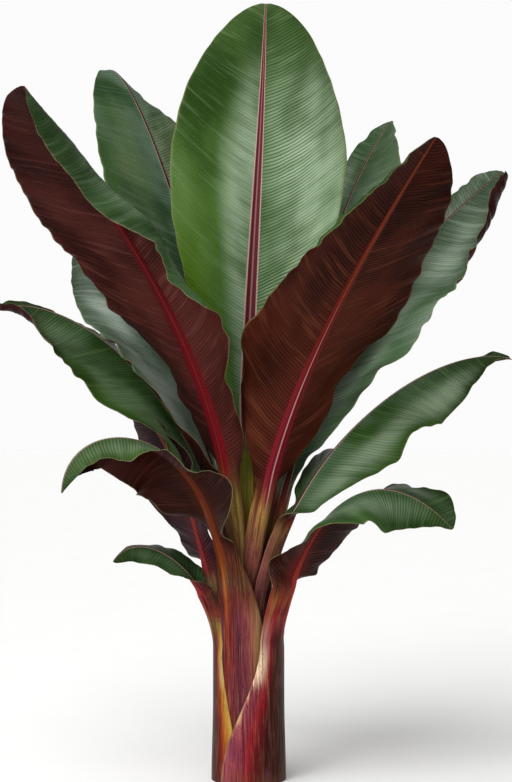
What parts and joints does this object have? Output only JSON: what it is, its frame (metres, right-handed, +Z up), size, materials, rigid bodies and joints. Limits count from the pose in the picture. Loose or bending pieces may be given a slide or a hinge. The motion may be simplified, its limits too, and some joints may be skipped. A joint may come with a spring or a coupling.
{
  "type": "banana plant",
  "caption": "Red-leaved banana plant: a thick stem of nested leaf sheaths, cut flat at the ground, under a full crown of long upright, arching and drooping blades.",
  "frame": {"origin": "centre of the stem's flat cut at ground level", "axes": "+Z up along the stem, +X to the right and -Y towards a viewer of the front"},
  "size_m": [1.6851, 1.5482, 2.4202],
  "materials": {
    "leaf_green": "satin, fine side veins, maroon underneath",
    "leaf_bright": "satin, bright green above, maroon underneath",
    "leaf_maroon": "satin, seen from the maroon underside",
    "sheath": "waxy, streaked red and ochre",
    "core": "dull, dark red-brown"
  },
  "bodies": {
    "root": {"stem_core": "core", "sheath_front": "sheath", "sheath_left": "sheath", "sheath_right": "sheath", "sheath_rear": "sheath", "leaf_top": "leaf_bright", "leaf_rear_upright": "leaf_green", "leaf_front_left": "leaf_maroon", "leaf_front_right": "leaf_maroon", "leaf_back_left": "leaf_green", "leaf_back_right": "leaf_green", "leaf_right": "leaf_green", "leaf_left": "leaf_green", "leaf_left_arching": "leaf_green", "leaf_right_arching": "leaf_green", "leaf_rear_arching": "leaf_green", "leaf_left_inner": "leaf_green", "leaf_front_drooping": "leaf_bright", "leaf_rear_drooping": "leaf_green", "leaf_left_small": "leaf_green", "leaf_right_drooping": "leaf_bright", "stalk_left_arching": "sheath", "stalk_right_arching": "sheath", "stalk_rear_arching": "sheath", "stalk_front_drooping": "sheath", "stalk_rear_drooping": "sheath", "stalk_left_small": "sheath", "stalk_right_drooping": "sheath"}
  },
  "joints": []
}
